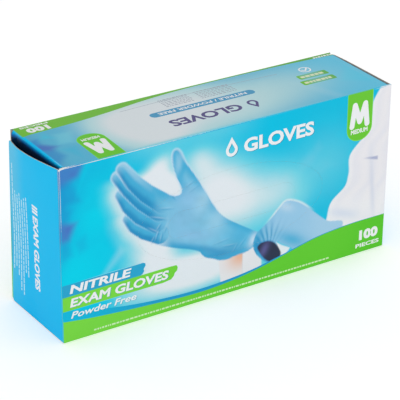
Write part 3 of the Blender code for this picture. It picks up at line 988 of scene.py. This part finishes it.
def board_piece(name, loops, place, paint, inks, body, node, outward, step=1.0, slot="printed_board"):
    """A piece of board cut to loops: print on the outer face, raw edges and a raw inner face."""
    flat, faces = triangulate(segments(loops), [ink.edges for ink in inks], step)
    points = place(flat[:, 0], flat[:, 1])
    corners = printed_colours(flat, faces, paint, inks)
    a, b, c = (points[faces[:, i]] for i in range(3))
    if np.cross(b - a, c - a).sum(0) @ np.array(outward) < 0:
        faces, corners = faces[:, ::-1], corners[:, ::-1]
    obj = new_mesh(name, points, faces)
    store_print(obj.data, corners, wear_of(points))
    obj.data.materials.append(PRINTED)
    obj.data.materials.append(RAW)
    thicken(obj, BOARD, 1)
    claim(obj, body, slot, node)
    return obj


def wear_of(points):
    """How rubbed the print is: most on the crushed corner, some along the front's folds."""
    x, y, z = points.T
    left, front, top = x + LENGTH / 2, y + DEPTH / 2, HEIGHT - z
    corner = 1.0 * np.exp(-((left / 3.4) ** 2) - (front / 2.2) ** 2 - (top / 1.7) ** 2)
    top_fold = np.exp(-((front / 0.7) ** 2) - (top / 0.5) ** 2)
    along = 0.52 * smooth(48, 2, left) + 0.22
    side_fold = np.exp(-((left / 0.6) ** 2) - (front / 0.6) ** 2)
    down = 0.19 * smooth(46, 60, z) + 0.02
    return corner + np.maximum(top_fold * along, side_fold * down)


# ---------------------------------------------------------------- where each panel lies
def packed_bulge(u, v, most, start=0):
    """The gloves push the wide panels out a little, above the start."""
    across, up = np.clip(u / LENGTH, 0, 1), np.clip((v - start) / (HEIGHT - start), 0, 1)
    return most * (np.sin(np.pi * across) * np.sin(np.pi * up)) ** 0.8


def on_front(u, v):
    """The front bulges only above the tear-out panel's lowest perforations, which are its hinge."""
    bulge = packed_bulge(u, v, 0.5, OVAL_LOW.z / MM)
    return np.stack([u - LENGTH / 2, -DEPTH / 2 - bulge, v], axis=-1)


def on_back(u, v):
    return np.stack([LENGTH / 2 - u, DEPTH / 2 + packed_bulge(u, v, 0.7), v], axis=-1)


def on_top(u, v):
    """The top is a shallow pillow that bends down in its last few millimetres at each end."""
    from_end = np.minimum(u, LENGTH - u) - (LENGTH / 2 - DUST_FOLD_X)
    rise = 0.55 * smooth(0, 5, from_end) + 0.3 * np.sin(np.pi * np.clip(u / LENGTH, 0, 1))
    rise = rise * np.sin(np.pi * np.clip(v / DEPTH, 0, 1)) ** 0.7
    return np.stack([u - LENGTH / 2, v - DEPTH / 2, HEIGHT + rise], axis=-1)


def on_bottom(u, v):
    return np.stack([u - LENGTH / 2, DEPTH / 2 - v, 0 * u], axis=-1)


def on_outer_flap(side):
    """The left flap bows out, most along its top edge, with its lower corner off; the right is flat."""
    most = 1.1 if side < 0 else 0.1

    def place(u, v):
        across = np.clip((u - BOARD) / (DEPTH - BOARD), 0, 1)
        bow = (0.3 + most * smooth(55, HEIGHT, v)) * np.sin(np.pi * across**1.1)
        bow += 1.4 * most * smooth(0.5, 1, across) * smooth(50, 0, v)
        bow -= 0.5 * smooth(0.75, 1, across) * smooth(70, HEIGHT, v)
        return np.stack([side * (LENGTH / 2 + bow), u - DEPTH / 2, v], axis=-1)

    return place


def on_inner_flap(side):
    """u runs from the back crease, v up."""
    return lambda u, v: np.stack([side * (BACK_FOLD_X + BOARD) + 0 * u, FOLD_Y - u, v], axis=-1)


def on_dust_flap(side, down):
    """u runs from the crease into the carton, v along the crease. down is -1 on the top flaps.

    The flap leans into the carton, and its two edges curl back to the side panels.
    """
    lean = math.radians(10)
    crease_z = FOLD_Z if down < 0 else BOARD

    def place(u, v):
        at_edge = smooth(26, DUST_EDGE, np.abs(v))
        curl = at_edge * (u * math.sin(lean) + 0.8 * smooth(0, 3, u))
        x = side * (DUST_FOLD_X - u * math.sin(lean) + BOARD * math.cos(lean) + curl)
        z = crease_z + down * (u * math.cos(lean) + BOARD * math.sin(lean))
        return np.stack([x, v, z], axis=-1)

    return place


# ================================================================ Folds
def fold_tube(start, end, first_turn, last_turn, colour_at, steps, sides=6):
    """Part of a round bead along a fold: points, faces and corner colours.

    A turn is the direction across the bead, as a function of the share from first to last.
    colour_at(along, share) is the print there.
    """
    start, end = np.array(start, float), np.array(end, float)
    first, last = np.array(first_turn, float), np.array(last_turn, float)
    shares = np.linspace(0, 1, sides + 1)
    along = np.linspace(0, 1, steps + 1)
    ring = [first * math.cos(t * math.pi / 2) + last * math.sin(t * math.pi / 2) for t in shares]
    ring = np.array(ring) * BOARD
    line = start + (end - start) * along[:, None]
    points = (line[:, None] + ring[None]).reshape(-1, 3)
    columns = sides + 1
    grid = np.arange(len(points)).reshape(-1, columns)
    quads = np.stack([grid[:-1, :-1], grid[:-1, 1:], grid[1:, 1:], grid[1:, :-1]], axis=-1).reshape(-1, 4)
    colours = colour_at(np.repeat(along, columns), np.tile(shares, len(along)))
    return points, quads, colours[quads]


def build_folds():
    """The rounded outer side of every fold, which carries the print from panel to panel."""
    tubes = []
    prints = {
        "front": (paint_front, FRONT_INKS),
        "top": (paint_top, TOP_INKS),
        "back": (paint_back, BACK_INKS),
        "bottom": (paint_bottom, []),
    }

    def across(panel_a, edge_a, panel_b, edge_b, length, from_start):
        """Colours along a fold between two panels; edge gives (u, v) for a place along it."""

        def colour_at(along, share):
            place = from_start + along * length
            a = print_at(*prints[panel_a], *edge_a(place))
            b = print_at(*prints[panel_b], *edge_b(place))
            return mix(a, b, share)

        return colour_at

    long_start = LENGTH / 2 - FOLD_X
    long_reach = 2 * FOLD_X
    front_top = across("front", lambda p: (p, 0 * p + FOLD_Z), "top", lambda p: (p, 0 * p + BOARD),
                       long_reach, long_start)
    front_low = across("front", lambda p: (p, 0 * p + BOARD), "bottom", lambda p: (p, 0 * p + FOLD_Y),
                       long_reach, long_start)
    back_start, back_reach = LENGTH / 2 - BACK_FOLD_X, 2 * BACK_FOLD_X
    back_top = across("back", lambda p: (LENGTH - p, 0 * p + FOLD_Z), "top", lambda p: (p, 0 * p + DEPTH - BOARD),
                      back_reach, back_start)
    back_low = across("back", lambda p: (LENGTH - p, 0 * p + BOARD), "bottom", lambda p: (p, 0 * p + BOARD),
                      back_reach, back_start)
    steps = 260
    for colours, reach, y, z, low in (
        (front_top, FOLD_X, -FOLD_Y, FOLD_Z, 1), (front_low, FOLD_X, -FOLD_Y, BOARD, -1),
        (back_top, BACK_FOLD_X, FOLD_Y, FOLD_Z, 1), (back_low, BACK_FOLD_X, FOLD_Y, BOARD, -1),
    ):
        out = (0, math.copysign(1, y), 0)
        tubes.append(fold_tube((-reach, y, z), (reach, y, z), out, (0, 0, low), colours, steps))

    for side in (-1, 1):
        def end_colour(along, share, side=side):
            z = along * HEIGHT
            front = print_at(paint_front, FRONT_INKS, 0 * z + (BOARD if side < 0 else LENGTH - BOARD), z)
            return mix(front, paint_end(0 * z + BOARD, z), smooth(0.2, 0.8, share))

        low, high = (side * FOLD_X, -FOLD_Y, BOARD), (side * FOLD_X, -FOLD_Y, FOLD_Z)
        tubes.append(fold_tube(low, high, (0, -1, 0), (side, 0, 0), end_colour, 130))
        # further round, out of sight until the flap opens
        tubes.append(fold_tube(low, high, (side, 0, 0), (0, 1, 0), plain(END_BLUE), 4))
        low = (side * BACK_FOLD_X, FOLD_Y, INNER_LOW)
        high = (side * BACK_FOLD_X, FOLD_Y, INNER_HIGH)
        tubes.append(fold_tube(low, high, (0, 1, 0), (side, 0, 0), plain(PAPER), 4))
        tubes.append(fold_tube(low, high, (side, 0, 0), (0, -1, 0), plain(PAPER), 4))
        for z, up in ((FOLD_Z, 1), (BOARD, -1)):
            ends = [(side * DUST_FOLD_X, y, z) for y in (-DUST_HALF, DUST_HALF)]

            def dust_colour(along, share, up=up, side=side):
                v = DEPTH / 2 - DUST_HALF + along * 2 * DUST_HALF
                u = 0 * v + (LENGTH / 2 + side * DUST_FOLD_X)
                panel = print_at(paint_top, TOP_INKS, u, v) if up > 0 else paint_bottom(u, v)
                return mix(panel, paint_dust_bleed_and_shade(0 * v, v), share)

            tubes.append(fold_tube(*ends, (0, 0, up), (side, 0, 0), dust_colour, 60))
            tubes.append(fold_tube(*ends, (side, 0, 0), (0, 0, -up), plain(END_BLUE), 4))

    points, faces, corners, count = [], [], [], 0
    for tube_points, quads, colours in tubes:
        points.append(tube_points)
        faces.append(quads + count)
        corners.append(colours)
        count += len(tube_points)
    points, faces, corners = (np.concatenate(part) for part in (points, faces, corners))
    obj = new_mesh("folds", points, faces)
    store_print(obj.data, corners, wear_of(points))
    obj.data.materials.append(PRINTED)
    obj.data.polygons.foreach_set("use_smooth", [True] * len(faces))
    claim(obj, "carton", "printed_board")


def plain(colour):
    return lambda along, share: mix(colour, colour, share)


# ================================================================ Build: sleeve
FRONT_INKS = front_inks()
TOP_INKS = top_inks()
BACK_INKS = back_inks()
INNER_BOX = [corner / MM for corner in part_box("left_inner_flap")]
INNER_LOW, INNER_HIGH = INNER_BOX[0].z, INNER_BOX[1].z
INNER_WIDTH = FOLD_Y - INNER_BOX[0].y
DUST_BOX = [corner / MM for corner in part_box("left_top_dust_flap")]
DUST_HALF = DUST_BOX[1].y
DUST_LENGTH, DUST_SHOULDER, DUST_TAPER = 40, 9, 0.35
DUST_EDGE = FOLD_Y - 0.3
CUT_GAP, TIE_GAP = 0.030, 0.006  # half the width of a perforation's cuts and ties


def perforated(loop, sign, period=3.2, cut=0.62):
    """The loop with short cuts and narrow ties along it. sign is 1 outside the cuts, -1 inside.

    The loop is a smooth closed curve, given counter-clockwise.
    """
    loop = np.array(loop + loop[:1], float)
    along = np.append(0, np.cumsum(np.hypot(*np.diff(loop, axis=0).T)))
    count = int(along[-1] / period)
    found = []
    for i in range(count):
        for share, gap in ((0, TIE_GAP), (0.06, CUT_GAP), (cut, CUT_GAP), (cut + 0.06, TIE_GAP)):
            place = along[-1] * (i + share) / count
            point = np.array([np.interp(place, along, loop[:, k]) for k in (0, 1)])
            ahead = np.array([np.interp(place + 0.05, along, loop[:, k]) for k in (0, 1)])
            away = (ahead - point) / np.hypot(*(ahead - point))
            found.append(tuple(point + sign * gap * np.array([away[1], -away[0]])))
    return found


TAB_CLEAR = 0.15  # half the CAD's gap round the tear-out panel and the tab


def tab_outline():
    """The press-in tab: a round-ended slot with a straight lower crease."""
    half = (TAB_HIGH.x - TAB_LOW.x) / MM / 2 + TAB_CLEAR
    low_v, high_v = TAB_LOW.z / MM - TAB_CLEAR, TAB_HIGH.z / MM + TAB_CLEAR
    radius = 9.3
    middle_v, reach = high_v - radius, half - radius
    angle = math.degrees(math.asin((low_v - middle_v) / radius))
    right = arc(OVAL_MID[0] + reach, middle_v, radius, angle, 90, 16)
    return right + arc(OVAL_MID[0] - reach, middle_v, radius, 90, 180 - angle, 16)


def paint_bottom(u, v):
    return mix(GREEN, GREEN_LIGHT, rough_noise(u, v, 60, 2))


def paint_dust_bleed_and_shade(u, v):
    """The dust flaps carry the ground's bleed along the crease; further in they are painted shade, deep navy darkening
    to near black, for the shadow inside the carton.
    """
    ground = mix(END_BLUE, (0.003, 0.14, 0.42), smooth(0.3, 2.0, u))
    # painted shade: near black away from the crease, where the inside of the carton is in shadow
    return mix(ground, (0.002, 0.020, 0.065), smooth(2.0, 4.4, u))


def paint_inner(u, v):
    """Unprinted coated board, with the back panel's bleed along the crease."""
    edge = 3.0 + 0.3 * noise(u, v, 6, 2)
    return mix(END_BLUE, PAPER, smooth(-0.3, 0.3, u - edge))


def build_sleeve():
    front, back, up, down = (0, -1, 0), (0, 1, 0), (0, 0, 1), (0, 0, -1)
    oval = arc(*OVAL_MID, OVAL_X + TAB_CLEAR, 0, 360, 240, OVAL_Z + TAB_CLEAR)[:-1]
    face = rectangle(BOARD, LENGTH - BOARD, BOARD, FOLD_Z)
    board_piece("front_board", [face, perforated(oval, 1)], on_front, paint_front, FRONT_INKS,
                "carton", "front_panel", front, 0.75)
    board_piece("tear_out_board", [perforated(oval, -1), perforated(tab_outline(), 1)], on_front, paint_front, [],
                "tear_out", "tear_out_panel", front, 0.7)
    board_piece("press_in_board", [perforated(tab_outline(), -1)], on_front, paint_front, [],
                "press_in", "press_in_tab", front, 0.7)
    start, end = LENGTH / 2 - DUST_FOLD_X, LENGTH / 2 + DUST_FOLD_X
    face = rectangle(start, end, BOARD, DEPTH - BOARD)
    board_piece("top_board", [face], on_top, paint_top, TOP_INKS, "carton", "top_panel", up, 0.75)
    board_piece("bottom_board", [face], on_bottom, paint_bottom, [], "carton", "bottom_panel", down, 3.0)
    start, end = LENGTH / 2 - BACK_FOLD_X, LENGTH / 2 + BACK_FOLD_X
    face = rectangle(start, end, BOARD, FOLD_Z)
    board_piece("back_board", [face], on_back, paint_back, BACK_INKS, "carton", "back_panel", back, 0.9)
    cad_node("seam_flap").data.materials.clear()
    for node, mat in (("seam_flap", RAW), ("seam_adhesive", HOT_MELT)):
        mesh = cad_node(node).data
        mesh.materials.clear()
        mesh.materials.append(mat)


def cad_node(name):
    return bpy.data.objects[name]


# ================================================================ Build: ends
def outer_flap_outline(side):
    """The left flap's free top edge falls away from its crease; the right one's stays up."""
    start = BOARD + CREASE_CLEAR
    us = np.linspace(start, DEPTH - 3.2, 18)
    left_fall = [(0, 0.0), (8, 1.1), (18, 2.4), (30, 3.9), (42, 5.2), (54, 5.9), (64, 5.4)]
    right_fall = [(0, 0.0), (20, 0.3), (64, 0.6)]
    falls = curve_through(left_fall if side < 0 else right_fall, us)
    top = [(u, HEIGHT - 0.5 - fall) for u, fall in zip(us, falls)]
    far = DEPTH - 0.3
    corner = [(far - 0.9, top[-1][1] - 0.4), (far - 0.2, top[-1][1] - 1.3), (far, top[-1][1] - 3.0)]
    return [(start, 0.4), (far - 2, 0.4), (far, 2.4), *corner[::-1], *top[::-1]]


def dust_width(length):
    return DUST_HALF - DUST_TAPER * length


def build_ends():
    for name, side in (("left", -1), ("right", 1)):
        out = (side, 0, 0)
        board_piece(name + "_outer_board", [outer_flap_outline(side)], on_outer_flap(side), paint_end,
                    end_inks(side), name + "_outer_flap", name + "_outer_flap", out, 0.7)
        low, high, tip, cut = INNER_LOW, INNER_HIGH, INNER_WIDTH, 5
        outline = [(CREASE_CLEAR, low), (tip - cut, low), (tip, low + cut), (tip, high - cut), (tip - cut, high),
                   (CREASE_CLEAR, high)]
        board_piece(name + "_inner_board", [outline], on_inner_flap(side), paint_inner, [],
                    name + "_inner_flap", name + "_inner_flap", out, 1.5, "raw_board")
        for where, down in (("top", -1), ("bottom", 1)):
            half = [(0, DUST_HALF), (2, DUST_EDGE), (DUST_SHOULDER, DUST_EDGE), (DUST_SHOULDER + 1, dust_width(DUST_SHOULDER + 1)),
                    (DUST_LENGTH, dust_width(DUST_LENGTH))]
            outline = [(u, -v) for u, v in half] + half[::-1]
            node = f"{name}_{where}_dust_flap"
            board_piece(f"{name}_{where}_dust_board", [outline], on_dust_flap(side, down), paint_dust_bleed_and_shade, [],
                        node, node, out, 1.5, "raw_board")
        for where in ("lower", "upper"):
            build_bead(f"{name}_hot_melt_{where}", side, name + "_inner_flap")


def build_bead(node, side, body):
    """A squeezed bead of hot melt: a low pillow with an uneven edge."""
    low, high = (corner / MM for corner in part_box(node))
    mid_y, mid_z = (low.y + high.y) / 2, (low.z + high.z) / 2
    half_y, half_z = (high.y - low.y) / 2, (high.z - low.z) / 2
    outline = []
    for i in range(48):
        a = 2 * math.pi * i / 48
        wobble = 1 + 0.05 * math.sin(3 * a + mid_z) + 0.04 * math.sin(7 * a)
        outline.append((half_y * 0.97 * math.cos(a), half_z * wobble * 0.9 * math.copysign(abs(math.sin(a)) ** 0.6, math.sin(a))))
    flat, faces = triangulate(segments([outline]), [], 0.7)
    depth = distance_in(segments([outline]), flat[:, 0], flat[:, 1])
    swell = (high.x - low.x) * smooth(-0.1, 1.1, depth) * (0.85 + 0.15 * noise(flat[:, 0], flat[:, 1], 3, 4))
    base = low.x if side > 0 else high.x
    points = np.stack([base + side * swell, mid_y + flat[:, 0], mid_z + flat[:, 1]], axis=-1)
    obj = new_mesh(node + "_bead", points, faces if side > 0 else faces[:, ::-1])
    obj.data.materials.append(HOT_MELT)
    obj.data.polygons.foreach_set("use_smooth", [True] * len(faces))
    thicken(obj, 0.02)
    claim(obj, body, "adhesive", node)


# ================================================================ Build: gloves
def glove_outline():
    """The CAD glove's outline, as edges in its own plane: (x, z) in mm."""
    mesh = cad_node("glove_01").data
    points = np.array([v.co for v in mesh.vertices], float) / MM
    near = points[:, 1].min() + 1e-3
    faces = [f.vertices for f in mesh.polygons if all(points[i, 1] < near for i in f.vertices)]
    return outer_edges(points[:, [0, 2]], faces)


CUFF_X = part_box("glove_01")[1].x / MM
GLOVE_EDGES = glove_outline()
FRONT_GLOVE_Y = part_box("glove_01")[0].y / MM
HEADSPACE = FRONT_GLOVE_Y + DEPTH / 2 - BOARD
TAB_SWING = math.radians(20)


def crumple(x, z, seed):
    """How far a loose front glove stands out, from 0 to 1."""
    folds = rough_noise(x, z, 26, 3) * 0.6 + rough_noise(x + 0.6 * z, z, 13, 8) * 0.25
    folds += 0.15 * rough_noise(x, z, 6, 20 + seed)
    return np.clip(folds, 0, 1)


def tab_room(x, z):
    """The least depth that a front glove may come out to, where the press-in tab swings in."""
    low, high = TAB_LOW.z / MM, TAB_LOW.z / MM + (TAB_HIGH.z - TAB_LOW.z) / MM * math.cos(TAB_SWING)
    behind = smooth(high + 6, high + 1, z) * smooth(TAB_HIGH.x / MM + 7, TAB_HIGH.x / MM + 2, np.abs(x))
    swept = np.clip(z - low, 0, high - low) * math.tan(TAB_SWING)
    return BOARD - DEPTH / 2 + (swept + 0.45) * behind


def glove_points(flat, y, lift, seed):
    """Lays a flat glove at depth y, with its folds standing out by lift."""
    random = np.random.default_rng(seed)
    turn, slide = random.uniform(-0.004, 0.004), random.uniform(-0.5, 0.5)
    shrink = random.uniform(0, 0.012) + 0.014 * noise(flat[:, 1], 0 * flat[:, 1], 17, seed)
    x = flat[:, 0] * (1 - shrink) + turn * (flat[:, 1] - 52) + slide
    z = flat[:, 1]
    edge = np.clip(distance_in(GLOVE_EDGES, flat[:, 0], flat[:, 1]), 0, None)
    hem = 0.25 * smooth(2.4, 0.4, CUFF_X - flat[:, 0])
    stands_out = lift * crumple(x, z, seed) * smooth(0, 9, edge)
    room = y - tab_room(x, z) - 0.5 * (y - FRONT_GLOVE_Y)
    return np.stack([x, y - np.minimum(stands_out, np.maximum(room, 0)) - hem, z], axis=-1)


def glove_object(name, sheets, body_node, step, thickness):
    flat, faces = triangulate(GLOVE_EDGES, [], step)
    points, all_faces = [], []
    for i, (y, lift, seed) in enumerate(sheets):
        points.append(glove_points(flat, y, lift, seed))
        all_faces.append(faces + i * len(flat))
    obj = new_mesh(name, np.concatenate(points), np.concatenate(all_faces))
    obj.data.materials.append(NITRILE)
    obj.data.polygons.foreach_set("use_smooth", [True] * len(obj.data.polygons))
    thicken(obj, -thickness)
    claim(obj, "carton", "nitrile", body_node)


def build_gloves():
    for i in range(1, 11):
        node = f"glove_{i:02d}"
        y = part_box(node)[0].y / MM
        lift = HEADSPACE * 0.72 * (1 - (i - 1) / 11)
        glove_object(f"loose_glove_{i:02d}", [(y, lift, i)], node, 2.4, 0.2)
    for i in range(1, 10):
        node = f"glove_bundle_{i:02d}"
        low, high = (corner.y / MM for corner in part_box(node))
        pitch = (high - low) / 10
        ease = 0.4 if i > 1 else 0.6
        sheets = [(low + (k + 0.3) * pitch, ease, 100 + 10 * i + k) for k in range(10)]
        glove_object(f"pressed_gloves_{i:02d}", sheets, node, 6.0, 0.2)


build_sleeve()
build_folds()
build_ends()
build_gloves()


# ================================================================ Stage
def soft_light(name, place, aim, size, power, colour=(1, 1, 1)):
    lamp = bpy.data.lights.new(name, "AREA")
    lamp.shape = "RECTANGLE"
    lamp.size, lamp.size_y = size
    lamp.energy = power
    lamp.color = colour
    obj = bpy.data.objects.new(name, lamp)
    obj.location = place
    obj.rotation_euler = (Vector(aim) - Vector(place)).to_track_quat("-Z", "Y").to_euler()
    bpy.context.scene.collection.objects.link(obj)


def build_stage():
    scene = bpy.context.scene
    scene.view_settings.view_transform = "Standard"
    mesh = bpy.data.meshes.new("floor")
    reach = 6.0
    mesh.from_pydata([(-reach, -reach, 0), (reach, -reach, 0), (reach, reach, 0), (-reach, reach, 0)], [], [(0, 1, 2, 3)])
    floor = bpy.data.objects.new("floor", mesh)
    scene.collection.objects.link(floor)
    mat, tree, shader = new_material("floor")
    shader.inputs["Base Color"].default_value = (0.92, 0.92, 0.92, 1)
    shader.inputs["Roughness"].default_value = 0.8
    shader.inputs["Emission Color"].default_value = (1, 1, 1, 1)
    shader.inputs["Emission Strength"].default_value = 0.24
    mesh.materials.append(mat)
    world = bpy.data.worlds.new("studio")
    world.use_nodes = True
    sky = world.node_tree.nodes["Background"]
    sky.inputs["Color"].default_value = (1.0, 1.0, 1.0, 1)
    sky.inputs["Strength"].default_value = 0.78
    scene.world = world
    soft_light("key", (-0.9, -1.3, 1.6), (0, 0, 0.05), (1.4, 1.4), 6)
    soft_light("fill", (1.2, -1.0, 0.9), (0, 0, 0.05), (1.0, 1.0), 1.5)


# The camera's place round the carton, in degrees and millimetres
CAMERA_AZIMUTH, CAMERA_ELEVATION, CAMERA_ROLL = -32.63, 26.59, 0.48
CAMERA_TARGET, CAMERA_DISTANCE, CAMERA_LENS = (-3.35, 0, 52.26), 1152.3, 164.43


def build_camera():
    az, el = math.radians(CAMERA_AZIMUTH), math.radians(CAMERA_ELEVATION)
    back = Vector((math.sin(az) * math.cos(el), -math.cos(az) * math.cos(el), math.sin(el)))
    data = bpy.data.cameras.new("camera")
    data.lens = CAMERA_LENS
    data.sensor_width = 36
    obj = bpy.data.objects.new("camera", data)
    obj.location = (Vector(CAMERA_TARGET) + back * CAMERA_DISTANCE) * MM
    turn = (-back).to_track_quat("-Z", "Y").to_matrix().to_4x4()
    roll = Vector((0, 0, 1))
    from mathutils import Matrix
    turn = turn @ Matrix.Rotation(math.radians(CAMERA_ROLL), 4, roll)
    obj.rotation_euler = turn.to_euler()
    bpy.context.scene.collection.objects.link(obj)
    bpy.context.scene.camera = obj


build_stage()
build_camera()
